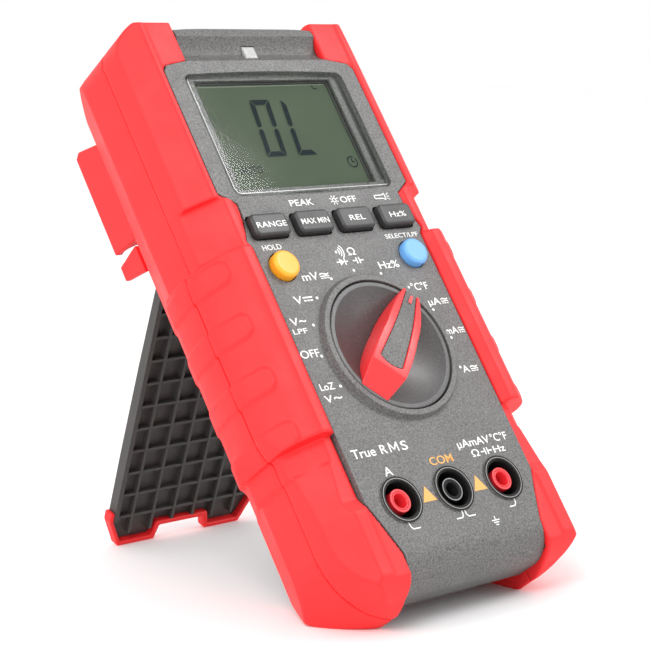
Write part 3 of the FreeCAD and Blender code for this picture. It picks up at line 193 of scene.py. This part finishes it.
MATERIALS = {
    "face_plastic": moulded("face_plastic", (0.122, 0.119, 0.117), 0.5, 2100, 0.7, 0.46, 0.06, 0.35,
                            (0.36, 0.66)),
    "case_plastic": moulded("case_plastic", (0.05, 0.05, 0.05), 0.3, 1800, 0.4, 0.55),
    "overmould": moulded("overmould", (0.84, 0.019, 0.022), 0.05, 3200, 0.12, 0.5, 0.05, 0.0,
                         Specular_IOR_Level=0.35),
    "lens_clear": clear_plate("lens_clear"),
    "lcd": lcd_sheet("lcd"),
    "white_plastic": moulded("white_plastic", (0.75, 0.75, 0.72), 0.06, 2500, 0.1, 0.5),
    "dark_plastic": moulded("dark_plastic", (0.022, 0.021, 0.02), 0.25, 2500, 0.2, 0.5),
    "gasket_rubber": moulded("gasket_rubber", (0.02, 0.02, 0.02), 0.25, 2500, 0.2, 0.65),
    "seam_black": moulded("seam_black", (0.008, 0.008, 0.008), 0.3, 2500, 0.2, 0.6, soft_edge=0),
    "indicator": moulded("indicator", (0.4, 0.4, 0.39), 0.06, 900, 0.1, 0.28, Coat_Weight=0.4),
    "key_rubber": moulded("key_rubber", (0.03, 0.029, 0.029), 0.16, 3000, 0.15, 0.42, 0.05, 0.5),
    "hold_yellow": moulded("hold_yellow", (1.0, 0.43, 0.02), 0.05, 3000, 0.12, 0.4, 0.05, 0.3),
    "select_blue": moulded("select_blue", (0.16, 0.42, 0.85), 0.05, 3000, 0.12, 0.4, 0.05, 0.3),
    "steel": turned_metal("steel", (0.62, 0.62, 0.64), 0.3),
    "dial_plastic": moulded("dial_plastic", (0.06, 0.058, 0.058), 0.35, 2400, 0.3, 0.36, 0.05, 0.3),
    "pointer_red": moulded("pointer_red", (0.9, 0.03, 0.035), 0.05, 3000, 0.06, 0.32, 0.04, 0.4),
    "contact_brass": turned_metal("contact_brass", (0.8, 0.58, 0.25), 0.25),
    "jack_black": moulded("jack_black", (0.01, 0.01, 0.01), 0.3, 2500, 0.12, 0.45,
                          Specular_IOR_Level=0.2),
    "jack_red": moulded("jack_red", (0.75, 0.02, 0.03), 0.06, 2500, 0.1, 0.35, 0.05, 0.3),
    "board_green": moulded("board_green", (0.02, 0.14, 0.05), 0.3, 700, 0.2, 0.35, Coat_Weight=0.5),
    "fuse_ceramic": moulded("fuse_ceramic", (0.8, 0.77, 0.7), 0.06, 1500, 0.1, 0.4),
    "protection_blue": moulded("protection_blue", (0.03, 0.1, 0.4), 0.15, 1200, 0.3, 0.3),
    "cell_can": turned_metal("cell_can", (0.3, 0.3, 0.32), 0.35),
    "stand_plastic": moulded("stand_plastic", (0.052, 0.05, 0.047), 0.2, 2200, 0.3, 0.5, 0.05, 0.3),
}
LEGEND_WHITE = moulded("legend_white", (0.88, 0.88, 0.86), 0.06, 4000, 0.05, 0.5, soft_edge=0)
LEGEND_ORANGE = moulded("legend_orange", (0.85, 0.42, 0.1), 0.06, 4000, 0.05, 0.5, soft_edge=0)
SEGMENT_INK = moulded("segment_ink", (0.014, 0.022, 0.028), 0.15, 3000, 0.02, 0.6, soft_edge=0,
                      Specular_IOR_Level=0.02)
# Painted shadow of the display figures: a darker copy of them, shifted down and left, laid under them on the
# sheet.
SEGMENT_SHADOW_INK = moulded("painted_shadow_ink", (0.075, 0.096, 0.066), 0.1, 3000, 0.02, 0.6, soft_edge=0,
                    Specular_IOR_Level=0.02)
RING_GREY = moulded("ring_grey", (0.27, 0.26, 0.25), 0.1, 3000, 0.1, 0.4, soft_edge=0)
# Pale grey for the painted highlight along the display window's left and bottom edges.
WINDOW_EDGE_HIGHLIGHT = moulded("window_edge_highlight", (0.5, 0.5, 0.5), 0.2, 1500, 0.1, 0.2, soft_edge=0)
RIM_BLACK = moulded("rim_black", (0.01, 0.01, 0.01), 0.2, 3000, 0.1, 0.4, soft_edge=0,
                    Specular_IOR_Level=0.12)
MARK_RED = moulded("mark_red", (0.75, 0.02, 0.03), 0.08, 3000, 0.1, 0.4, soft_edge=0)


# ---------------------------------------------------------------- artwork

class Artwork:
    """Flat shapes gathered in face millimetres, then made into one thin raised mesh."""

    def __init__(self):
        self.points = []
        self.faces = []

    def shape(self, points):
        start = len(self.points)
        self.points += [(x, y) for x, y in points]
        self.faces.append(list(range(start, start + len(points))))

    def bar(self, start, end, width):
        run = Vector((end[0] - start[0], end[1] - start[1]))
        side = Vector((-run.y, run.x)).normalized() * width / 2
        a, b = Vector(start), Vector(end)
        self.shape([a - side, b - side, b + side, a + side])

    def path(self, points, width):
        for start, end in zip(points, points[1:]):
            self.bar(start, end, width)

    def ring(self, centre, radius, width, first=0, last=360, steps=48):
        angles = [math.radians(first + (last - first) * i / steps) for i in range(steps + 1)]
        for a, b in zip(angles, angles[1:]):
            self.shape([(centre[0] + r * math.cos(t), centre[1] + r * math.sin(t))
                        for r, t in ((radius - width / 2, a), (radius + width / 2, a),
                                     (radius + width / 2, b), (radius - width / 2, b))])

    def disc(self, centre, radius, steps=28):
        self.shape([(centre[0] + radius * math.cos(2 * math.pi * i / steps),
                     centre[1] + radius * math.sin(2 * math.pi * i / steps)) for i in range(steps)])

    def text(self, words, left, right, base, cap, weight=0.01, slant=0.0):
        """Words whose ends fall at left and right, standing on base, with capitals cap tall."""
        curve = bpy.data.curves.new("words", "FONT")
        curve.body = words
        curve.offset = weight
        curve.resolution_u = 4
        holder = bpy.data.objects.new("words", curve)
        bpy.context.scene.collection.objects.link(holder)
        bpy.context.view_layer.update()
        drawn = holder.evaluated_get(bpy.context.evaluated_depsgraph_get())
        mesh = bpy.data.meshes.new_from_object(drawn)
        xs = [v.co.x for v in mesh.vertices]
        wide = (right - left) / (max(xs) - min(xs))
        tall = cap / CAPITAL_HEIGHT
        start = len(self.points)
        self.points += [(left + (v.co.x - min(xs)) * wide + slant * v.co.y * tall,
                         base + v.co.y * tall) for v in mesh.vertices]
        self.faces += [[start + i for i in face.vertices] for face in mesh.polygons]
        bpy.data.objects.remove(holder)
        bpy.data.curves.remove(curve)
        bpy.data.meshes.remove(mesh)

    def build(self, name, body, level, material, thick=0.05, turn=0.0):
        """One mesh lying at the level given, riding on the body."""
        cos, sin = math.cos(turn), math.sin(turn)
        mesh = bpy.data.meshes.new(name)
        mesh.from_pydata([FACE @ Vector((x * cos - y * sin, x * sin + y * cos, level))
                          for x, y in self.points], [], self.faces)
        mesh.update()
        for face in mesh.polygons:
            if face.normal.dot(OUT) < 0:
                face.flip()
        piece = bpy.data.objects.new(name, mesh)
        bpy.context.scene.collection.objects.link(piece)
        mesh.materials.append(material)
        solid = piece.modifiers.new("thickness", "SOLIDIFY")
        solid.thickness = thick * MM
        solid.offset = 1
        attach(piece, body)


# Words on the face: the words, their left and right ends, their base line and capital height.
FUNCTION_WORDS = (
    ("mV", -19.2, -13.4, 22.6, 2.5), ("V", -25.2, -22.4, 15.9, 2.5), ("V", -29.6, -26.9, 9.7, 2.4),
    ("LPF", -30.1, -25.2, 7.2, 1.6), ("OFF", -31.0, -24.5, 0.0, 2.4), ("LoZ", -29.3, -24.4, -9.8, 2.1),
    ("V", -29.4, -26.7, -13.4, 2.2), ("Hz%", 9.8, 17.4, 23.8, 2.4), ("°C°F", 18.0, 24.4, 15.9, 2.4),
    ("µA", 21.7, 26.4, 10.7, 2.3), ("mA", 23.3, 27.9, 1.1, 2.3), ("A", 22.8, 25.4, -11.1, 2.3),
    ("Ω", 0.6, 3.5, 29.0, 2.4), ("PEAK", -12.0, -3.4, 45.9, 2.1), ("OFF", 6.7, 12.7, 45.9, 2.1),
    ("HOLD", -28.1, -21.5, 32.9, 1.7), ("SELECT/LPF", 17.1, 29.8, 33.1, 1.5),
    ("True", -28.6, -20.4, -30.0, 2.7), ("R", -18.6, -16.3, -30.0, 2.7), ("S", -11.2, -8.9, -30.0, 2.7),
    ("A", -20.6, -17.8, -36.2, 2.6), ("µAmAV", 8.2, 20.6, -32.6, 2.4), ("°C°F", 21.2, 27.5, -32.6, 2.4),
    ("Ω", 12.0, 14.8, -35.8, 2.1), ("Hz", 20.4, 24.9, -35.8, 2.1))
EITHER_CURRENT_SIGNS = ((-12.8, -9.5, 22.7), (26.8, 29.5, 10.8), (28.2, 30.5, 1.2), (26.0, 28.8, -11.0))
WAVE_SIGNS = ((-26.6, -24.2, 10.3), (-26.3, -23.4, -12.9))


def function_legends():
    art = Artwork()
    for words, left, right, base, cap in FUNCTION_WORDS:
        art.text(words, left, right, base, cap)
    for left, right, base in EITHER_CURRENT_SIGNS:
        direct_and_alternating(art, left, right, base)
    direct(art, -22.0, -18.6, 16.3)
    for left, right, base in WAVE_SIGNS:
        art.text("~", left, right, base - 0.6, 3.0)
    art.path([(-15.2, -30.0), (-15.2, -27.3), (-13.8, -29.4), (-12.4, -27.3), (-12.4, -30.0)], 0.42)
    beeper(art, (-3.9, 29.0))
    diode(art, -4.8, -0.6, 27.2)
    capacitor(art, 1.2, 5.2, 27.2, 1.0)
    capacitor(art, 15.5, 19.8, -34.8, 1.0)
    sun(art, (4.5, 46.9))
    torch(art, 20.0, 46.9)
    socket_lines(art)
    art.build("function_legends", "case", PRINT_LEVEL, LEGEND_WHITE)


def dashes(art, left, right, y, width, inset, shortfall):
    """Three dashes in a row."""
    third = (right - left) / 3
    for index in range(3):
        start = left + index * third + inset
        art.bar((start, y), (start + third - shortfall, y), width)


def direct(art, left, right, base):
    """The sign for direct voltage: a bar over three dashes."""
    art.bar((left, base + 1.3), (right, base + 1.3), 0.45)
    dashes(art, left, right, base + 0.35, 0.45, 0.12, 0.3)


def direct_and_alternating(art, left, right, base):
    """The sign for either kind of current: a wave over a bar over three dashes."""
    art.text("~", left, right, base + 0.35, 2.9)
    art.bar((left, base + 0.72), (right, base + 0.72), 0.32)
    dashes(art, left, right, base + 0.1, 0.32, 0.1, 0.25)


def beeper(art, corner):
    """The continuity sign: a dot and three arcs of sound."""
    art.disc((corner[0] + 0.5, corner[1] + 1.4), 0.42)
    for radius in (1.1, 1.9, 2.7):
        art.ring((corner[0] + 0.5, corner[1] + 1.4), radius, 0.36, -48, 48, 10)


def diode(art, left, right, middle):
    """The diode sign, with its triangle's point to the right."""
    art.bar((left, middle), (left + 1.2, middle), 0.4)
    art.shape([(left + 1.2, middle - 1.1), (right - 1.3, middle), (left + 1.2, middle + 1.1)])
    art.bar((right - 1.1, middle - 1.1), (right - 1.1, middle + 1.1), 0.4)
    art.bar((right - 1.1, middle), (right, middle), 0.4)


def capacitor(art, left, right, middle, tall):
    """The capacitor sign: two plates between two leads."""
    centre = (left + right) / 2
    for side in (-1, 1):
        art.bar((centre + side * 0.5, middle - tall), (centre + side * 0.5, middle + tall), 0.42)
    art.bar((left, middle), (centre - 0.5, middle), 0.4)
    art.bar((centre + 0.5, middle), (right, middle), 0.4)


def sun(art, centre):
    """The backlight sign: a ring with eight rays."""
    art.ring(centre, 0.62, 0.34, steps=20)
    for index in range(8):
        turn = math.radians(index * 45 + 22.5)
        near, far = [(centre[0] + r * math.cos(turn), centre[1] + r * math.sin(turn)) for r in (0.95, 1.6)]
        art.bar(near, far, 0.3)


def torch(art, left, middle):
    """A small torch that points right, with three rays."""
    outline = ((0, -0.55), (0, 0.55), (2.8, 0.55), (4, 1.05), (4, -1.05), (2.8, -0.55), (0, -0.55))
    art.path([(left + x, middle + y) for x, y in outline], 0.34)
    for side in (-1, 0, 1):
        art.bar((left + 4.6, middle + 0.55 * side), (left + 5.6, middle + 1.1 * side), 0.26)


def socket_lines(art):
    """Brackets that pair each current socket with the common one, and the earth sign."""
    for points in ([(-19.9, -49.2), (-19.7, -50.9), (-19.1, -51.6), (-16.6, -51.6)],
                   [(-3.4, -51.6), (-1.2, -51.6), (-0.6, -50.9), (-0.5, -49.2)],
                   [(0.5, -49.2), (0.6, -50.9), (1.2, -51.6), (3.7, -51.6)],
                   [(16.9, -51.6), (18.9, -51.6), (19.5, -50.9), (19.7, -49.4)]):
        art.path(points, 0.36)
    art.bar((9.7, -53.1), (9.7, -54.2), 0.3)
    for half, y in ((1.4, -54.3), (0.95, -54.95), (0.5, -55.6)):
        art.bar((9.7 - half, y), (9.7 + half, y), 0.32)


def dial_dots():
    """A dot for each of the dial's eleven detents."""
    art = Artwork()
    for index in range(11):
        turn = math.radians(202.5 - 22.5 * index)
        art.disc((DOT_RADIUS * math.cos(turn), DOT_RADIUS * math.sin(turn)), 0.44, 16)
    art.build("dial_dots", "case", PRINT_LEVEL, LEGEND_WHITE)


def common_legends():
    """The orange legend over the common socket and the two plain triangles beside it."""
    art = Artwork()
    art.text("COM", -3.9, 4.6, -35.8, 2.4)
    for centre in (-9.5, 9.5):
        art.shape([(centre - 2.5, -45.3), (centre + 2.5, -45.3), (centre, -40.9)])
    art.build("common_legends", "case", PRINT_LEVEL, LEGEND_ORANGE)


def key_legends():
    for words, body, left, right in (
            ("RANGE", "range_key", -28.6, -18.2), ("MAX MIN", "peak_key", -12.8, -2.8),
            ("REL", "relative_key", 4.9, 10.7), ("Hz%", "hertz_key", 20.3, 26.5)):
        art = Artwork()
        art.text(words, left, right, 38.8, 1.8, 0.006)
        art.build(body + "_legend", body, KEY_TOP, LEGEND_WHITE, 0.03)


def segments(art, left, base, lit, tall=19.2, wide=7.3, stroke=1.75, slant=0.12):
    """One slanted seven-segment figure with mitred ends, showing the named segments only."""
    gap = 0.18
    half = stroke / 2
    middle = tall / 2
    inner, outer = wide - stroke, tall - stroke
    places = {
        "top": ((gap, tall), (wide - gap, tall), (inner - gap, outer), (stroke + gap, outer)),
        "bottom": ((gap, 0), (wide - gap, 0), (inner - gap, stroke), (stroke + gap, stroke)),
        "upper_left": ((0, tall - gap), (stroke, outer - gap), (stroke, middle + half),
                       (half, middle + gap), (0, middle + half)),
        "lower_left": ((0, gap), (stroke, stroke + gap), (stroke, middle - half),
                       (half, middle - gap), (0, middle - half)),
        "upper_right": ((wide, tall - gap), (inner, outer - gap), (inner, middle + half),
                        (wide - half, middle + gap), (wide, middle + half)),
        "lower_right": ((wide, gap), (inner, stroke + gap), (inner, middle - half),
                        (wide - half, middle - gap), (wide, middle - half)),
    }
    for name in lit:
        art.shape([(left + x + slant * y, base + y) for x, y in places[name]])


def display_content():
    """What the display shows: two figures and their painted shadow, AUTO, a timer, an edge line, and a
    painted highlight along the window's left and bottom edges.
    """
    figures = (("top", "bottom", "upper_left", "lower_left", "upper_right", "lower_right"),
               ("upper_left", "lower_left", "bottom"))
    for name, shift, level, ink in (("display_figures", (0, 0), 0.04, SEGMENT_INK),
                                    # The second entry paints the figures' shadow as a darker shifted copy.
                                    ("display_shadow", (-0.55, -0.35), 0.01, SEGMENT_SHADOW_INK)):
        art = Artwork()
        for left, lit in zip((-9.5, 2.05), figures):
            segments(art, left + shift[0], 64.0 + shift[1], lit)
        if name == "display_figures":
            art.text("AUTO", -21.5, -13.2, 58.8, 2.5, 0.004, 0.08)
            clock(art, (21.0, 60.9))
            art.path([(18.6, 87.9), (18.9, 86.7), (20.4, 86.6)], 0.35)
        art.build(name, "case", GLASS_FRONT + level, ink, 0.01)
    edge = Artwork()
    edge.bar((-23.9, 87.75), (23.6, 88.1), 0.16)
    edge.build("display_edge_line", "case", GLASS_FRONT + 0.02, RING_GREY, 0.01)
    # A painted highlight: a pale line along the window's left and bottom edges, on its front.
    glint = Artwork()
    glint.path([(-28.9, 88), (-28.9, 52.6), (-28.3, 51.2), (-27, 50.75), (26.8, 50.75)], 0.22)
    glint.build("window_edge_highlight", "case", WINDOW_FRONT, WINDOW_EDGE_HIGHLIGHT, 0.02)


def clock(art, centre):
    """The timer sign on the display: an open ring and two hands."""
    art.ring(centre, 1.75, 0.42, 60, 400, 30)
    art.bar(centre, (centre[0], centre[1] + 1.2), 0.4)
    art.bar((centre[0] - 0.1, centre[1]), (centre[0] + 0.95, centre[1]), 0.4)


def socket_rings():
    """A black rim round each socket with a thin pale line on it."""
    pale, dark = Artwork(), Artwork()
    for x in SOCKET_XS:
        dark.ring((x, SOCKET_Y), SOCKET_RING, 1.15, steps=64)
        pale.ring((x, SOCKET_Y), SOCKET_RING, 0.22, steps=64)
    dark.build("socket_rims", "case", COLLAR_TOP, RIM_BLACK, 0.03)
    pale.build("socket_rings", "case", COLLAR_TOP + 0.04, RING_GREY, 0.03)


def socket_bushings():
    """The insulating tube in each socket's mouth, turned from a profile of (radius, z), and a painted
    highlight on the edge of the black middle one."""
    profile = ((2.62, -1.45), (2.62, -0.5), (2.5, -0.3), (2.32, -0.22), (2.14, -0.3), (1.98, -0.55),
               (1.97, -10))
    steps = 48
    for name, x, ink in zip(("amp", "com", "volt"), SOCKET_XS, ("jack_red", "jack_black", "jack_red")):
        points, faces = [], []
        for index in range(steps):
            turn = 2 * math.pi * index / steps
            points += [FACE @ Vector((x + r * math.cos(turn), SOCKET_Y + r * math.sin(turn), z))
                       for r, z in profile]
            here, after = index * len(profile), (index + 1) % steps * len(profile)
            faces += [(here + k, after + k, after + k + 1, here + k + 1)
                      for k in range(len(profile) - 1)]
        mesh = bpy.data.meshes.new(name + "_socket_bushing")
        mesh.from_pydata(points, [], faces)
        mesh.polygons.foreach_set("use_smooth", [True] * len(faces))
        mesh.materials.append(MATERIALS[ink])
        piece = bpy.data.objects.new(name + "_socket_bushing", mesh)
        bpy.context.scene.collection.objects.link(piece)
        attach(piece, "case")
    # Painted highlight: a pale ring on the edge of the black middle socket.
    lit = Artwork()
    lit.ring((0, SOCKET_Y), 3.15, 0.26, steps=48)
    lit.build("middle_socket_edge_highlight", "case", -0.3, RING_GREY, 0.04)


def dial_mark():
    """The red mark at the knob's tip."""
    art = Artwork()
    art.shape([(14.4, -0.55), (17.2, -0.45), (17.2, 0.45), (14.4, 0.55)])
    art.build("dial_mark", "dial", INLAY_TOP, MARK_RED, 0.12, KNOB_TURN)


# ---------------------------------------------------------------- carried-over CAD

def soften(node, voxel, passes):
    """Rounds a soft part's edges: an even skin over the CAD solid, in voxels of so many
    millimetres, then smoothed."""
    weld = node.modifiers.new("weld", "WELD")
    weld.merge_threshold = 1e-6
    skin = node.modifiers.new("skin", "REMESH")
    skin.mode = "VOXEL"
    skin.voxel_size = voxel * MM
    skin.use_smooth_shade = True
    smooth = node.modifiers.new("smooth", "SMOOTH")
    smooth.factor = 0.5
    smooth.iterations = passes


def finish_nodes():
    slots = {part["node"]: part["material_slot"] for part in frame["record"]["subparts"]}
    for name, node in frame["nodes"].items():
        node.data.materials.clear()
        node.data.materials.append(MATERIALS[slots[name]])
    for name in ("front_overmould_left", "front_overmould_right", "rear_overmould"):
        soften(frame["nodes"][name], 0.42, 6)
    for name in ("probe_clip_left", "probe_clip_right", "stand_edging"):
        soften(frame["nodes"][name], 0.3, 4)
    for name in ("dial_pointer", "hold_button", "select_button"):
        soften(frame["nodes"][name], 0.2, 5)


# ---------------------------------------------------------------- stage

def sheet_floor():
    mesh = bpy.data.meshes.new("floor")
    mesh.from_pydata([(-60, -60, 0), (60, -60, 0), (60, 60, 0), (-60, 60, 0)], [], [(0, 1, 2, 3)])
    floor = bpy.data.objects.new("floor", mesh)
    bpy.context.scene.collection.objects.link(floor)
    mesh.materials.append(moulded("floor_paint", (1.0, 1.0, 1.0), 0.004, 200, 0.0, 0.8, soft_edge=0))


def lamp(name, place, target, size, watts):
    light = bpy.data.lights.new(name, "AREA")
    light.shape = "DISK"
    light.size = size
    light.energy = watts
    holder = bpy.data.objects.new(name, light)
    holder.location = place
    holder.rotation_mode = "QUATERNION"
    holder.rotation_quaternion = (Vector(target) - Vector(place)).to_track_quat("-Z", "Y")
    bpy.context.scene.collection.objects.link(holder)


def studio():
    world = bpy.data.worlds.new("studio")
    bpy.context.scene.world = world
    world.use_nodes = True
    sky = world.node_tree.nodes["Background"]
    sky.inputs["Color"].default_value = (1, 1, 1, 1)
    sky.inputs["Strength"].default_value = 1.0
    middle = (0, 0, 0.08)
    lamp("key_light", (-0.9, -0.6, 1.1), middle, 0.7, 8)
    lamp("side_light", (-1.1, 0.1, 0.5), middle, 0.6, 3)
    lamp("fill_light", (0.9, -0.9, 0.7), middle, 0.8, 3)
    gloss_card()


# The gloss card in face millimetres: a point in front of the face, how far the card's middle
# is shifted sideways from it, and the card's axes. Its size is in metres.
CARD_AT = Vector((481, 405, 528))
CARD_SHIFT = 93
CARD_AWAY = Vector((0.64, 0.4, 0.66))
CARD_ALONG = Vector((0.476, -0.879, 0.07))
CARD_SIZE = (0.16, 0.36)
CARD_WATTS = 3.0


def gloss_card():
    """A bright strip seen only in polished surfaces, whose edge crosses the display window."""
    away = CARD_AWAY.normalized()
    along = CARD_ALONG
    along = (along - away * along.dot(away)).normalized()
    across = along.cross(away)
    light = bpy.data.lights.new("gloss_card", "AREA")
    light.shape = "RECTANGLE"
    light.size, light.size_y = CARD_SIZE
    light.energy = CARD_WATTS
    holder = bpy.data.objects.new("gloss_card", light)
    holder.visible_diffuse = False
    spot = CARD_AT + across * CARD_SHIFT
    turn = Matrix([(FACE.to_3x3() @ axis).normalized() for axis in (across, along, away)]).transposed()
    holder.matrix_world = Matrix.Translation(FACE @ spot) @ turn.to_4x4()
    bpy.context.scene.collection.objects.link(holder)


def camera():
    lens = bpy.data.cameras.new("camera")
    lens.lens = 103.8
    lens.sensor_width = 36
    lens.clip_start, lens.clip_end = 0.01, 50
    holder = bpy.data.objects.new("camera", lens)
    up = CAMERA_RIGHT.cross(CAMERA_FORWARD)
    axes = [FACE.to_3x3() @ axis for axis in (CAMERA_RIGHT, up, -CAMERA_FORWARD)]
    turn = Matrix([axis.normalized() for axis in axes]).transposed()
    holder.matrix_world = Matrix.Translation(FACE @ CAMERA_AT) @ turn.to_4x4()
    bpy.context.scene.collection.objects.link(holder)
    bpy.context.scene.camera = holder


finish_nodes()
function_legends()
dial_dots()
common_legends()
key_legends()
display_content()
socket_rings()
socket_bushings()
dial_mark()
sheet_floor()
studio()
camera()
bpy.context.scene.view_settings.view_transform = "Standard"
